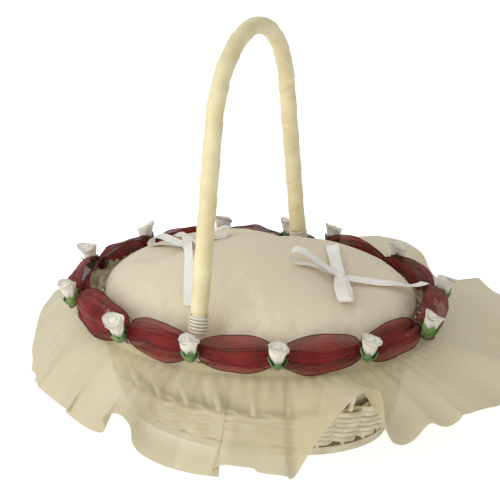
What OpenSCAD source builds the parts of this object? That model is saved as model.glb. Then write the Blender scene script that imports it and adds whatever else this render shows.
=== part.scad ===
// Oval wicker basket with a wrapped hoop handle, a gathered skirt, a garland of ribbon puffs
// tied with rosebuds, and a loose plump cushion that carries two satin bows.
// Millimetres, +Z up, origin on the table under the middle of the base.
// X runs along the oval, Y across it from leg to leg of the handle.

/* [Basket] */
// Length of the rim between the middles of its border
rim_len = 272; // [256:1:284]
// Width of the rim between the middles of its border
rim_wid = 226; // [214:1:236]
// Length of the base between the middles of its wall
base_len = 212; // [200:1:224]
// Width of the base between the middles of its wall
base_wid = 140; // [132:1:152]
// Height of the wall to the top of the border
basket_h = 99; // [96:1:106]
// Overall thickness of the twisted border
border_d = 10; // [9:0.5:11]
// Turns of twist in the border
border_twists = 16; // [14:1:18]
// Upright stakes around the wall, an odd number
stake_count = 27; // [23:2:31]
// Thickness of a stake
stake_d = 4; // [3:0.5:4.5]
// Thickness of a weaving rod
rod_d = 4.4; // [3.6:0.2:4.8]
// Turns of close weave above the foot
lower_turns = 6; // [4:1:7]
// Turns of close weave under the border
upper_turns = 2; // [2:1:3]
// Height of the foot hoop
foot_h = 6; // [6:0.5:8]

/* [Handle] */
// Height of the middle of the handle at its top
handle_top = 320; // [300:1:335]
// Lean of each leg towards the other, degrees
handle_lean = 12; // [9:0.5:13]
// Thickness of the cane hoop
handle_d = 11; // [9:0.5:12]
// Thickness of the ribbon wrapped around it
wrap_t = 1.5; // [0.8:0.1:1.7]
// Distance of the handle from the middle of the basket, along it
handle_side = -3; // [-4:0.5:2]
// Distance along the hoop from one ribbon edge to the next
wrap_pitch = 28; // [24:1:34]
// Turns of cane that lash each leg
lash_turns = 5; // [4:1:9]
// Thickness of the lashing cane
lash_d = 2.1; // [1.6:0.1:2.3]

/* [Cushion] */
// Room between the cushion's seam and the middle of the rim at the ends
end_room = 11; // [8:0.5:14]
// Room between the cushion's seam and the middle of the rim at the sides
side_room = 14; // [12:0.5:18]
// Height of the cushion's seam above the table
seam_z = 104; // [101:1:108]
// Height of the crown above the seam
crown_h = 37; // [28:1:44]
// Depth of the stitched hollow under each bow
tuft_depth = 6; // [4:0.5:7]
// Thickness of the cover cloth
cover_t = 1; // [0.8:0.1:1.4]
// Height that the cushion lifts before the handle holds it
lift_h = 50; // [20:1:50]

/* [Garland] */
// Distance of the garland outside the middle of the border
garland_out = 6.5; // [6:0.5:8]
// Width of a full ribbon puff, from its inner to its outer edge
puff_h = 31; // [26:1:32]
// Thickness of a full ribbon puff
puff_w = 14; // [12:0.5:15]
// Lean of the puffs towards the cushion, degrees from upright
puff_lean = 30; // [28:1:45]
// Thickness of the tied neck between two puffs
neck_d = 7.2; // [6:0.2:8]
// Length of a rosebud with its calyx
bud_h = 24; // [20:1:26]
// Outward lean of a rosebud, degrees
bud_lean = 14; // [8:1:20]

/* [Skirt] */
// Width of the gathered organza strip
skirt_w = 80; // [60:1:81]
// Depth of the folds compared with those of the basket as it was draped
fold_share = 1; // [0.5:0.05:1.05]

/* [Bows] */
// Width of the satin ribbon
satin_w = 10; // [7:0.5:10]
// Size of a bow's knot
knot_d = 7.5; // [6:0.5:9]

/* [Hidden] */
$fn = 48;
// Gap left between neighbours that touch on the real basket
fit = 0.3;
rim_a = rim_len / 2;
rim_b = rim_wid / 2;
base_a = base_len / 2;
base_b = base_wid / 2;
border_r = border_d / 2;
border_z = basket_h - border_r;
rod_r = rod_d / 2;
stake_r = stake_d / 2;
stake_step = 360 / stake_count;
row_gap = 0.6;
row_pitch = rod_d + row_gap;
wall_tilt = atan((rim_b - base_b) / border_z);
// Offset of a rod's middle from the wall as it passes a stake
weave_out = stake_r / cos(wall_tilt) + rod_r + 0.6;
// Share of a stake's spacing that a rod stays on one side
weave_flat = 0.22;
rod_sides = 5;
weave_start = foot_h + fit + rod_r;
upper_start = border_z - border_r - fit - rod_r - upper_turns * row_pitch;
hoop_w = 9;
base_in_a = base_a - hoop_w / 2;
base_in_b = base_b - hoop_w / 2;
// Flat slats run across inside the hoop and carry a mat of oval bands
slat_w = 6;
slat_gap = 16;
mat_z = foot_h - 1;
mat_t = 2.4;
mat_w = 8;
mat_gap = 0.8;
// Space for the inner passes of the wall rod between the mat and the hoop
mat_edge = 3.6;
mat_top = mat_z + mat_t;
// Handle: lower legs run inside the wall, upper legs lean in to the arch
handle_r = handle_d / 2;
// A leg nestles between two inner passes of the rods
leg_nestle = 0.75;
leg_inset = weave_out + rod_r + fit - leg_nestle + handle_r / cos(wall_tilt);
elbow_z = basket_h + 6;
leg_end_z = 30;
function wall_a(z) = base_a + (rim_a - base_a) * z / border_z;
function wall_b(z) = base_b + (rim_b - base_b) * z / border_z;
function leg_low_y(z) = wall_b(z) - leg_inset;
elbow_y = leg_low_y(elbow_z);
arch_z = (handle_top - elbow_y * cos(handle_lean) - elbow_z * sin(handle_lean)) / (1 - sin(handle_lean));
arch_r = handle_top - arch_z;
leg_top_y = arch_r * cos(handle_lean);
leg_top_z = arch_z + arch_r * sin(handle_lean);
leg_len = norm([elbow_y - leg_top_y, leg_top_z - elbow_z]);
// The cane is a little thicker where it is bent from the slope of the wall to the lean of the leg
knuckle = 1.06;
lash_pitch = lash_d + 0.5;
lash_start = handle_r;
wrap_start = lash_start + lash_turns * lash_pitch + lash_d;
wrap_sides = 10;
wrap_rings_per_turn = 3;
// Garland
garland_a = rim_a + garland_out;
garland_b = rim_b + garland_out;
// A puff is pleated, lies slanting on the border and rests on it with one pleat of its under face
puff_sides = 10;
pleat_in = 0.95;
pleat_low = [cos(216) * puff_h / 2, sin(216) * puff_w / 2];
pleat_high = pleat_in * [cos(252) * puff_h / 2, sin(252) * puff_w / 2];
pleat_out = [pleat_high[1] - pleat_low[1], pleat_low[0] - pleat_high[0]] / norm(pleat_high - pleat_low);
seat_out = garland_out * (pleat_out[0] * sin(puff_lean) - pleat_out[1] * cos(puff_lean));
seat_up = -pleat_out[0] * cos(puff_lean) - pleat_out[1] * sin(puff_lean);
puff_seat = (border_r + fit + pleat_low * pleat_out - seat_out) / seat_up;
garland_z = border_z + puff_seat;
full_puff = 70;
neck_r = neck_d / 2;
tie_r = 0.6;
// Place of each rosebud around the rim, tied by hand, degrees from +X
bud_at = [246, 271, 296, 323.5, 351, 24, 57, 83, 98.5, 121, 149, 177, 212];
bud_count = len(bud_at);
// A rosebud stands out from the tie, a little upwards
bud_rise = 22;
bud_out = neck_r + 2 * tie_r + 7.2 * bud_h / 24 + 2 * fit;
// Skirt
heading_h = 9;
heading_t = 1.2;
heading_z = basket_h - heading_h - 6;
heading_off = border_r + fit;
skirt_t = 0.8;
skirt_cols = 156;
skirt_rows = 3;
// Width of the strip as it was draped, and the mean drop of its hem below the heading
draped_w = 80;
mean_drop = 26;
// How much later the cloth drops than it reaches out
skirt_bend = 1.3;
// Main folds at the hem, draped by hand: degrees from +X, reach out from the heading, drop below it
skirt_hem = [[0, 74, 12], [12, 74, 22], [24, 75, 5], [42, 78, 9], [60, 76, 17], [67, 78, 3], [76, 78, -5],
             [90, 76, 8], [99, 74, 18], [108, 75, 8], [127, 70, 32], [136, 73, 20], [157, 67, 40],
             [174, 67, 37], [186, 57, 50], [204, 40, 58], [222, 45, 43], [240, 44, 44], [252, 50, 45],
             [262, 64, 14], [268, 68, 38], [275, 62, 51], [284, 62, 53], [287, 66, 36], [300, 63, 50],
             [307, 76, -10], [314, 76, -14], [320, 74, 28], [328, 74, 14], [332, 75, 21], [339, 75, 17],
             [350, 73, 28], [360, 74, 12]];
hem_reach = [for (h = skirt_hem) [h[0], h[1] * skirt_w / draped_w]];
hem_drop = [for (h = skirt_hem) [h[0], (mean_drop + (h[2] - mean_drop) * fold_share) * skirt_w / draped_w]];
// Cushion
half_len = rim_a - end_room;
half_wid = rim_b - side_room;
plump = 2.2;
dent_w = 17;
// Leg's inner face at the height of the lifted seam, which the side of the cushion has to pass
wrapped_r = handle_r + wrap_t;
lifted_leg_y = elbow_y - (seam_z + lift_h - elbow_z) * tan(handle_lean) - wrapped_r / cos(handle_lean);
leg_room = 3;
dent = max(0, half_wid - lifted_leg_y + leg_room);
belly_h = seam_z - mat_top - fit;
belly_taper = 0.26;
cushion_cols = 40;
tuft_w = 20;
left_knot = [-63, 8];
right_knot = [74, -6];
satin_t = 0.5;
satin_lift = 0.8;
knot_lift = 0.8;
// Distance from the middle of a knot to where its ribbons come out
ribbon_start = knot_d / 2 + fit + satin_w * 0.47;

wicker = [0.90, 0.87, 0.78];
ivory = [0.85, 0.81, 0.68];
organza = [0.84, 0.81, 0.70];
burgundy = [0.38, 0.11, 0.15];
petal = [0.90, 0.88, 0.85];
leaf = [0.36, 0.50, 0.28];
satin = [0.93, 0.92, 0.90];

// Points and directions on an oval

function oval(a, b, t) = [a * cos(t), b * sin(t)];
function oval_out(a, b, t) = [b * cos(t), a * sin(t)] / norm([b * cos(t), a * sin(t)]);
function unit(v) = v / norm(v);

// Surfaces through a list of rings, each with the same number of points

function side_faces(rings, sides, closed) = [
    for (i = [0 : rings - (closed ? 1 : 2)])
    for (j = [0 : sides - 1])
    let (k = (i + 1) % rings, m = (j + 1) % sides)
    each [[i * sides + j, k * sides + j, k * sides + m], [i * sides + j, k * sides + m, i * sides + m]]
];
function cap_faces(rings, sides) = [
    [for (j = [0 : sides - 1]) j],
    [for (j = [sides - 1 : -1 : 0]) (rings - 1) * sides + j]
];
module skin(rings, closed = false) {
    count = len(rings);
    sides = len(rings[0]);
    points = [for (ring = rings) each ring];
    polyhedron(points, concat(side_faces(count, sides, closed), closed ? [] : cap_faces(count, sides)), 10);
}
function ring_at(p, u, v, ru, rv, sides) =
    [for (j = [0 : sides - 1]) p + ru * cos(360 * j / sides) * u + rv * sin(360 * j / sides) * v];
module rod(p, q, d) {
    span = q - p;
    length = norm(span);
    translate(p)
        rotate([0, acos(span[2] / length), atan2(span[1], span[0])])
            cylinder(d = d, h = length);
}
module oval_plate(a, b) {
    polygon([for (t = [0 : 5 : 355]) oval(a, b, t)]);
}
module oval_band(a, b, width, height) {
    linear_extrude(height)
        difference() {
            oval_plate(a + width / 2, b + width / 2);
            oval_plate(a - width / 2, b - width / 2);
        }
}

// Wicker

module foot_hoop() {
    color(wicker) oval_band(base_a, base_b, hoop_w, foot_h);
}
module base_slats() {
    reach = base_in_a - 8;
    slat_count = floor(reach / slat_gap);
    color(wicker)
        for (i = [-slat_count : slat_count]) {
            x = i * slat_gap;
            near = (abs(x) + slat_w / 2) / base_in_a;
            half = base_in_b * sqrt(1 - near * near) - fit;
            translate([x - slat_w / 2, -half, 0]) cube([slat_w, 2 * half, mat_z - fit]);
        }
}
module base_weave() {
    inner_a = base_in_a - mat_w / 2 - mat_edge;
    inner_b = base_in_b - mat_w / 2 - mat_edge;
    band_step = mat_w + mat_gap;
    band_count = floor((inner_b - mat_w) / band_step);
    color(wicker)
        for (i = [0 : band_count])
            translate([0, 0, mat_z])
                oval_band(inner_a - i * band_step, inner_b - i * band_step, mat_w, mat_t);
}
module stakes() {
    end = stake_r * sin(wall_tilt) + fit / 2;
    low = foot_h + end;
    high = border_z - border_r - end;
    color(wicker)
        for (k = [0 : stake_count - 1]) {
            t = (k + 0.5) * stake_step;
            p = oval(wall_a(low), wall_b(low), t);
            q = oval(wall_a(high), wall_b(high), t);
            rod([p[0], p[1], low], [q[0], q[1], high], stake_d);
        }
}
// One rod wound up the wall, in front of one stake and behind the next
module wall_weave(z0, turns, first) {
    passes = turns * stake_count;
    rings = [
        for (k = [0 : passes - 1])
        for (e = [-1, 1])
        let (turn = k + 0.5 + e * weave_flat,
             t = turn * stake_step,
             z = z0 + row_pitch * t / 360,
             side = ((k + first) % 2 == 0) ? 1 : -1,
             out = oval_out(wall_a(z), wall_b(z), t),
             p = oval(wall_a(z), wall_b(z), t) + side * weave_out * out)
        ring_at([p[0], p[1], z], [0, 0, 1], [out[0], out[1], 0], rod_r, rod_r, rod_sides)
    ];
    skin(rings);
}
module side_weave() {
    color(wicker) wall_weave(weave_start, lower_turns, 0);
}
module upper_weave() {
    color(wicker) wall_weave(upper_start, upper_turns, 1);
}
module border_strand(start) {
    strand_c = border_r * 0.56;
    strand_r = border_r - strand_c;
    steps = border_twists * 6;
    rings = [
        for (i = [0 : steps - 1])
        let (t = 360 * i / steps,
             turn = 360 * border_twists * i / steps + start,
             out = oval_out(rim_a, rim_b, t),
             p = oval(rim_a, rim_b, t) + strand_c * cos(turn) * out)
        ring_at([p[0], p[1], border_z + strand_c * sin(turn)], [0, 0, 1], [out[0], out[1], 0],
                strand_r, strand_r, 6)
    ];
    skin(rings, true);
}
module rim_border() {
    color(wicker) {
        border_strand(0);
        border_strand(180);
    }
}

// Handle

// One leg of the cane, drawn on the +Y side, with a knuckle where it was bent
module leg() {
    low = [handle_side, leg_low_y(leg_end_z), leg_end_z];
    elbow = [handle_side, elbow_y, elbow_z];
    high = [handle_side, leg_top_y, leg_top_z];
    rod(low, elbow, handle_d);
    translate(elbow) sphere(d = handle_d * knuckle);
    rod(elbow, high, handle_d);
}
module handle_core() {
    color(wicker) {
        leg();
        mirror([0, 1, 0]) leg();
        translate([handle_side, 0, arch_z])
            rotate([90, 0, 90])
                rotate([0, 0, handle_lean])
                    rotate_extrude(angle = 180 - 2 * handle_lean)
                        translate([arch_r, 0]) circle(d = handle_d);
    }
}
// Point and direction along the upper handle, measured from the elbow of the +Y leg
arch_len = arch_r * (180 - 2 * handle_lean) * PI / 180;
hoop_len = 2 * leg_len + arch_len;
function along(s) =
    s < leg_len ? [elbow_y - s * sin(handle_lean), elbow_z + s * cos(handle_lean), 90 + handle_lean]
    : s < leg_len + arch_len
    ? let (turn = handle_lean + (s - leg_len) / arch_r * 180 / PI)
      [arch_r * cos(turn), arch_z + arch_r * sin(turn), 90 + turn]
    : let (rest = hoop_len - s)
      [-(elbow_y - rest * sin(handle_lean)), elbow_z + rest * cos(handle_lean), 270 - handle_lean];
function hoop_ring(s, radii) =
    let (p = along(s), sides = len(radii), out = [0, sin(p[2]), -cos(p[2])])
    [for (j = [0 : sides - 1])
        [handle_side, p[0], p[1]] + radii[j] * (cos(360 * j / sides) * [1, 0, 0] + sin(360 * j / sides) * out)];
module handle_ribbon() {
    length = hoop_len - 2 * wrap_start;
    turns = round(length / wrap_pitch);
    rings = turns * wrap_rings_per_turn;
    bore_r = (handle_r + 0.12) / cos(180 / wrap_sides) + 0.1;
    step = 0.4;
    low_r = handle_r + wrap_t - step;
    outer = [
        for (i = [0 : rings])
        hoop_ring(wrap_start + length * i / rings,
            [for (j = [0 : wrap_sides - 1])
                let (phase = j / wrap_sides - i / wrap_rings_per_turn)
                max(low_r, bore_r + 0.25) + step * (phase - floor(phase))])
    ];
    inner = [
        for (i = [rings : -1 : 0])
        hoop_ring(wrap_start + length * i / rings, [for (j = [0 : wrap_sides - 1]) bore_r])
    ];
    color(ivory) skin(concat(outer, inner), true);
}
module lashing(side) {
    turn_rings = 10;
    steps = lash_turns * turn_rings;
    coil_r = (handle_r + fit / 2 + lash_d / 2) / cos(180 / turn_rings);
    rings = [
        for (i = [0 : steps])
        let (s = lash_start + lash_d / 2 + lash_pitch * i / turn_rings,
             p = along(side > 0 ? s : hoop_len - s),
             turn = 360 * i / turn_rings,
             out = [0, sin(p[2]), -cos(p[2])],
             up = [0, cos(p[2]), sin(p[2])],
             ray = cos(turn) * [1, 0, 0] + sin(turn) * out)
        ring_at([handle_side, p[0], p[1]] + coil_r * ray, ray, up, lash_d / 2, lash_d / 2, 5)
    ];
    echo("least gap between the turns of a lashing, mm", lash_pitch - lash_d);
    color(wicker) skin(rings);
}
module lashing_front() {
    lashing(-1);
}
module lashing_back() {
    lashing(1);
}

// Skirt

module skirt_heading() {
    off = heading_off + heading_t / 2;
    color(organza)
        translate([0, 0, heading_z])
            oval_band(rim_a + off, rim_b + off, heading_t, heading_h);
}
function skirt_point(t, row, side) =
    let (off = heading_off + heading_t + fit + skirt_t / 2,
         a = rim_a + off,
         b = rim_b + off,
         out = oval_out(a, b, t),
         share = row / skirt_rows,
         fall = atan2(lookup(t, hem_drop), lookup(t, hem_reach)),
         reach = lookup(t, hem_reach) * share + side * skirt_t / 2 * sin(fall),
         rise = -lookup(t, hem_drop) * pow(share, skirt_bend) + side * skirt_t / 2 * cos(fall),
         p = oval(a, b, t) + reach * out)
    [p[0], p[1], heading_z + heading_h / 2 + rise];
module skirt() {
    rings = [
        for (i = [0 : skirt_cols - 1])
        let (t = 360 * i / skirt_cols)
        concat([for (row = [0 : skirt_rows]) skirt_point(t, row, -1)],
               [for (row = [skirt_rows : -1 : 0]) skirt_point(t, row, 1)])
    ];
    color(organza) skin(rings, true);
}

// Garland

function puff_ring(t, share, size) =
    let (bulge = pow(max(0, sin(180 * share)), 0.6),
         out = oval_out(garland_a, garland_b, t),
         p = oval(garland_a, garland_b, t),
         wide = [-sin(puff_lean) * out[0], -sin(puff_lean) * out[1], cos(puff_lean)],
         thick = [cos(puff_lean) * out[0], cos(puff_lean) * out[1], sin(puff_lean)],
         ru = neck_r + (size * puff_h / 2 - neck_r) * bulge,
         rv = neck_r + (size * puff_w / 2 - neck_r) * bulge)
    [for (j = [0 : puff_sides - 1])
        let (pleat = (j % 2 == 0) ? 1 : pleat_in - 0.16 * (1 - bulge),
             turn = 360 * j / puff_sides)
        [p[0], p[1], garland_z]
            + pleat * (ru * cos(turn) * wide + rv * sin(turn) * thick)];
module puff(n) {
    t0 = bud_at[n - 1];
    t1 = bud_at[n % bud_count] + (bud_at[n % bud_count] < t0 ? 360 : 0);
    chord = norm(oval(garland_a, garland_b, t1) - oval(garland_a, garland_b, t0));
    size = min(1, chord / full_puff);
    gap = 0.15 / garland_b * 180 / PI;
    steps = 9;
    rings = [for (i = [0 : steps]) puff_ring(t0 + gap + (t1 - t0 - 2 * gap) * i / steps, i / steps, size)];
    color(burgundy) skin(rings);
}
module garland_ties() {
    color(leaf)
        for (t = bud_at) {
            p = oval(garland_a, garland_b, t);
            out = oval_out(garland_a, garland_b, t);
            translate([p[0], p[1], garland_z])
                rotate([0, 0, atan2(out[1], out[0])])
                    rotate([90, 0, 0])
                        rotate_extrude() translate([neck_r + tie_r + 0.15, 0]) circle(r = tie_r, $fn = 24);
        }
}
module at_bud(n) {
    t = bud_at[n - 1];
    p = oval(garland_a, garland_b, t);
    out = oval_out(garland_a, garland_b, t);
    translate([p[0], p[1], garland_z])
        rotate([0, 0, atan2(out[1], out[0])])
            translate([bud_out * cos(bud_rise), 0, bud_out * sin(bud_rise)])
                rotate([0, bud_lean, 0])
                    translate([0, 0, -bud_h / 2])
                        scale(bud_h / 24)
                            children();
}
module rosebud(n) {
    color(petal)
        at_bud(n) {
            difference() {
                rotate_extrude()
                    polygon([[0, 2.6], [1.6, 3.4], [3.1, 5], [4.2, 8], [4.6, 11], [5.2, 15], [6.8, 19.5],
                             [8.6, 22], [8.2, 22.6], [6.2, 20.6], [4.6, 18], [0, 17]]);
                for (k = [0 : 2])
                    rotate([0, 0, 120 * k + 20])
                        translate([3.5, 0, 19.4])
                            rotate([90, 0, 90])
                                linear_extrude(7) polygon([[0, 0], [1.6, 5], [-0.8, 5]]);
            }
            rotate([0, 0, 70])
                rotate_extrude(angle = 260)
                    polygon([[4.0, 16], [4.7, 16], [5.3, 22.4], [4.7, 22.8]]);
            rotate([0, 0, 210])
                rotate_extrude(angle = 270)
                    polygon([[2.3, 16], [3.0, 16], [3.2, 23.2], [2.6, 23.6]]);
            translate([0, 0, 16]) cylinder(r1 = 1.6, r2 = 1.0, h = 8);
        }
}
module calyx(n) {
    color(leaf)
        at_bud(n)
            difference() {
                rotate_extrude()
                    polygon([[0, 0], [1.4, 0.6], [3.0, 2.2], [4.6, 5], [5.4, 8], [6.0, 12.2],
                             [5.5, 12.2], [4.7, 8.2], [3.6, 4.8], [1.9, 3.0], [0, 2.2]]);
                for (k = [0 : 4])
                    rotate([0, 0, 72 * k])
                        translate([2.6, 0, 5.2])
                            rotate([90, 0, 90])
                                linear_extrude(7) polygon([[0, 0], [3.4, 8], [-3.4, 8]]);
            }
}

// Cushion

function plan_reach(t) =
    pow(pow(abs(cos(t)) / half_len, plump) + pow(abs(sin(t)) / half_wid, plump), -1 / plump);
// Point of the outline at a share of the way out, with the hollows that the legs press into the sides
function plan_point(t, share) =
    let (r = plan_reach(t),
         x = r * cos(t),
         hollow = dent * exp(-pow((x - handle_side) / dent_w, 2)) * pow(share, 3),
         y = r * sin(t))
    [x * share, (y - sign(y) * hollow) * share];
function tuft(x, y, knot) = tuft_depth * exp(-(pow(x - knot[0], 2) + pow(y - knot[1], 2)) / tuft_w / tuft_w);
function crown(share) = crown_h * pow(max(0, 1 - pow(share, 2.3)), 0.62);
function top_z(x, y, share) =
    seam_z + crown(share) - (tuft(x, y, left_knot) + tuft(x, y, right_knot)) * (1 - pow(share, 4));
// Share of the way from the middle to the seam at a point in plan
function share_at(x, y) = norm([x, y]) / plan_reach(atan2(y, x));
function rest_z(p) = top_z(p[0], p[1], min(0.98, share_at(p[0], p[1])));
// Rings of the cover, two of them through the hollows under the knots
top_shares = [1, 0.985, 0.94, 0.87, 0.78, 0.68, 0.58, 0.5, 0.34, 0.12];
function top_ring(share, t_off, drop) = [
    for (i = [0 : cushion_cols - 1])
    let (p = plan_point(360 * i / cushion_cols, share), k = 1 - t_off / half_wid)
    [p[0] * k, p[1] * k, max(seam_z, top_z(p[0], p[1], share) - drop * (share < 1 ? 1 : 0))]
];
belly_turns = [0, 10, 26, 44, 62, 78];
function belly_ring(turn, t_off, rise) = [
    for (i = [0 : cushion_cols - 1])
    let (share = (1 - belly_taper * sin(turn)) * pow(cos(turn), 0.5),
         full = plan_point(360 * i / cushion_cols, 1),
         p = full * share,
         k = 1 - t_off / half_wid)
    [p[0] * k, p[1] * k, seam_z - belly_h * sin(turn) / sin(78) + rise * (turn > 0 ? 1 : 0)]
];
module cushion_top() {
    color(ivory)
        skin(concat([for (i = [9 : -1 : 0]) top_ring(top_shares[i], cover_t, cover_t)],
                    [for (i = [0 : 9]) top_ring(top_shares[i], 0, 0)]));
}
module cushion_bottom() {
    color(ivory)
        skin(concat([for (i = [5 : -1 : 0]) belly_ring(belly_turns[i], 0, 0)],
                    [for (i = [0 : 5]) belly_ring(belly_turns[i], cover_t, cover_t)]));
}
module cushion_filling() {
    under = [for (i = [5 : -1 : 1]) belly_ring(belly_turns[i], cover_t * 2 + fit, cover_t + fit)];
    over = [for (i = [2 : 9]) top_ring(top_shares[i], cover_t * 2 + fit, cover_t * 2 + fit)];
    color(petal) skin(concat(under, over));
}

// Bows

function strip_ring(p, along_dir, across) =
    let (rise = cross(along_dir, across))
    [p - across * satin_w / 2 - rise * satin_t / 2, p + across * satin_w / 2 - rise * satin_t / 2,
     p + across * satin_w / 2 + rise * satin_t / 2, p - across * satin_w / 2 + rise * satin_t / 2];
// A ribbon along a route, its width lying across the heading it starts with
module strip(route, heading) {
    n = len(route);
    across = [-sin(heading), cos(heading), 0];
    skin([for (i = [0 : n - 1])
        let (step = route[min(n - 1, i + 1)] - route[max(0, i - 1)])
        strip_ring(route[i], unit(step - (step * across) * across), across)]);
}
// Point above the cushion that clears it across the width of the ribbon
function laid(p, lift, across) =
    let (edge = across * satin_w / 2)
    [p[0], p[1], max(rest_z(p), rest_z(p + edge), rest_z(p - edge)) + lift];
// A tail lies on the cushion from the knot to its cut end, with a slight bend on the way
module tail(knot, heading, length, bend) {
    steps = 8;
    strip([for (i = [0 : steps])
        let (s = ribbon_start + (length - ribbon_start) * i / steps,
             turn = heading + bend * i / steps,
             across = [-sin(turn), cos(turn)])
        laid(knot + s * [cos(turn), sin(turn)], satin_lift + satin_t, across)], heading + bend);
}
// A loop runs out over the cushion, turns and comes back above itself
module loop(knot, heading, length, height) {
    steps = 6;
    dir = [cos(heading), sin(heading)];
    across = [-sin(heading), cos(heading)];
    reach = [for (i = [0 : steps]) knot + (ribbon_start + (length - ribbon_start) * i / steps) * dir];
    low = [for (p = reach) laid(p, satin_lift + satin_t, across)];
    high = [for (i = [steps : -1 : 0])
        laid(reach[i], satin_lift + satin_t + 1.4 + height * sin(180 * (0.12 + 0.8 * i / steps)), across)];
    end = knot + (length + height / 3) * dir;
    tip = [[end[0], end[1], (low[steps][2] + high[0][2]) / 2]];
    strip(concat(low, tip, high), heading);
}
module knot_ball(at) {
    color(satin) translate([at[0], at[1], rest_z(at) + knot_d / 2 + knot_lift]) sphere(d = knot_d);
}
module bow_left() {
    color(satin) {
        loop(left_knot, 18, 32, 7);
        loop(left_knot, 146, 52, 7);
        tail(left_knot, -56, 92, -8);
        tail(left_knot, 83, 44, 6);
    }
}
module bow_left_knot() {
    knot_ball(left_knot);
}
module bow_right() {
    color(satin) {
        loop(right_knot, 187, 41, 7);
        loop(right_knot, -58, 40, 7);
        tail(right_knot, 122, 50, -8);
        tail(right_knot, 46, 50, -16);
    }
}
module bow_right_knot() {
    knot_ball(right_knot);
}

foot_hoop();
base_slats();
base_weave();
stakes();
side_weave();
upper_weave();
rim_border();
handle_core();
handle_ribbon();
lashing_front();
lashing_back();
skirt_heading();
skirt();
garland_ties();
puff(1);  // puff_01
puff(2);  // puff_02
puff(3);  // puff_03
puff(4);  // puff_04
puff(5);  // puff_05
puff(6);  // puff_06
puff(7);  // puff_07
puff(8);  // puff_08
puff(9);  // puff_09
puff(10);  // puff_10
puff(11);  // puff_11
puff(12);  // puff_12
puff(13);  // puff_13
rosebud(1);  // rosebud_01
rosebud(2);  // rosebud_02
rosebud(3);  // rosebud_03
rosebud(4);  // rosebud_04
rosebud(5);  // rosebud_05
rosebud(6);  // rosebud_06
rosebud(7);  // rosebud_07
rosebud(8);  // rosebud_08
rosebud(9);  // rosebud_09
rosebud(10);  // rosebud_10
rosebud(11);  // rosebud_11
rosebud(12);  // rosebud_12
rosebud(13);  // rosebud_13
calyx(1);  // calyx_01
calyx(2);  // calyx_02
calyx(3);  // calyx_03
calyx(4);  // calyx_04
calyx(5);  // calyx_05
calyx(6);  // calyx_06
calyx(7);  // calyx_07
calyx(8);  // calyx_08
calyx(9);  // calyx_09
calyx(10);  // calyx_10
calyx(11);  // calyx_11
calyx(12);  // calyx_12
calyx(13);  // calyx_13
cushion_top();
cushion_bottom();
cushion_filling();
bow_left();
bow_left_knot();
bow_right();
bow_right_knot();
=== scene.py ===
import math
import random

import bmesh
import bpy
from mathutils import Matrix, Vector, noise
from mathutils.bvhtree import BVHTree


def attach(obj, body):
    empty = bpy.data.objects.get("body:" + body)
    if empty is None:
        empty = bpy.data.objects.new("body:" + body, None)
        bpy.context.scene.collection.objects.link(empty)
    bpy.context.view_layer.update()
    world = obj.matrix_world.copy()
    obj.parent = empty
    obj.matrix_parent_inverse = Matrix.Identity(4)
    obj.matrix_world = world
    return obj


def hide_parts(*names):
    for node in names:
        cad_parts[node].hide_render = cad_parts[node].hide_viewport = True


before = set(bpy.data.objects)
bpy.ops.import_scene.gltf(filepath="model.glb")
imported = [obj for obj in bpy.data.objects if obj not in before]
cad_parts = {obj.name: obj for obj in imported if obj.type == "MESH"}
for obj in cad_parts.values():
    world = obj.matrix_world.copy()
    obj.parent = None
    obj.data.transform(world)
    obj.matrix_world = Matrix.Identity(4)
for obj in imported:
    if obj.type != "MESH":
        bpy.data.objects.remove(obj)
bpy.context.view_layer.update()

MM = 0.001
UP = Vector((0, 0, 1))
random.seed(11)

# Sizes of the basket in millimetres, as in the part
RIM_A, RIM_B = 136, 113
BASE_A, BASE_B = 106, 70
BASKET_H = 99
BORDER_R = 5
BORDER_Z = BASKET_H - BORDER_R
BORDER_TWISTS = 16
STAKE_COUNT = 27
STAKE_R = 2
ROD_R = 2.2
FIT = 0.3
ROW_PITCH = 2 * ROD_R + 0.6
LOWER_TURNS, UPPER_TURNS = 6, 2
FOOT_H = 6
MAT_T = 2.4
MAT_TOP = FOOT_H - 1 + MAT_T
WALL_TILT = math.atan((RIM_B - BASE_B) / BORDER_Z)
WEAVE_OUT = STAKE_R / math.cos(WALL_TILT) + ROD_R + 0.6
WEAVE_START = FOOT_H + FIT + ROD_R
UPPER_START = BORDER_Z - BORDER_R - FIT - ROD_R - UPPER_TURNS * ROW_PITCH

# Rods in the scene: half their height, half their depth and half the height of their thin tips
ROD_TALL, ROD_DEEP, ROD_TIP = 2.25, 1.5, 0.15
# How far two rods rise and fall as they cross between the stakes, and how sharply they change sides
ROD_CROSS, ROD_SNAP = 0.9, 1.7
# Where a rod starts, in stakes from +X
ROD_START = 0.3

# Handle
HANDLE_TOP = 320
HANDLE_LEAN = math.radians(12)
HANDLE_R = 5.5
WRAP_T = 1.5
HANDLE_SIDE = -3
WRAP_PITCH = 28
LASH_TURNS = 5
LASH_R = 1.05
LASH_PITCH = 2 * LASH_R + 0.5
LEG_NESTLE = 0.75
LEG_INSET = WEAVE_OUT + ROD_R + FIT - LEG_NESTLE + HANDLE_R / math.cos(WALL_TILT)
ELBOW_Z = BASKET_H + 6

# Garland
GARLAND_OUT = 6.5
GARLAND_A, GARLAND_B = RIM_A + GARLAND_OUT, RIM_B + GARLAND_OUT
PUFF_H = 31
PUFF_LEAN = math.radians(30)
GARLAND_Z = BORDER_Z + 11.29
# Ties closer than this have a smaller puff between them
FULL_PUFF = 70
# How far the inner and the outer layer stand out, by the number of the puff
PUFF_DEEP = {4: (-3, 8), 5: (-7, 13), 6: (-2, 11), 11: (0, 12), 12: (0, 13), 13: (-3, 11)}
USUAL_DEEP = (-3, 8)
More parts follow.
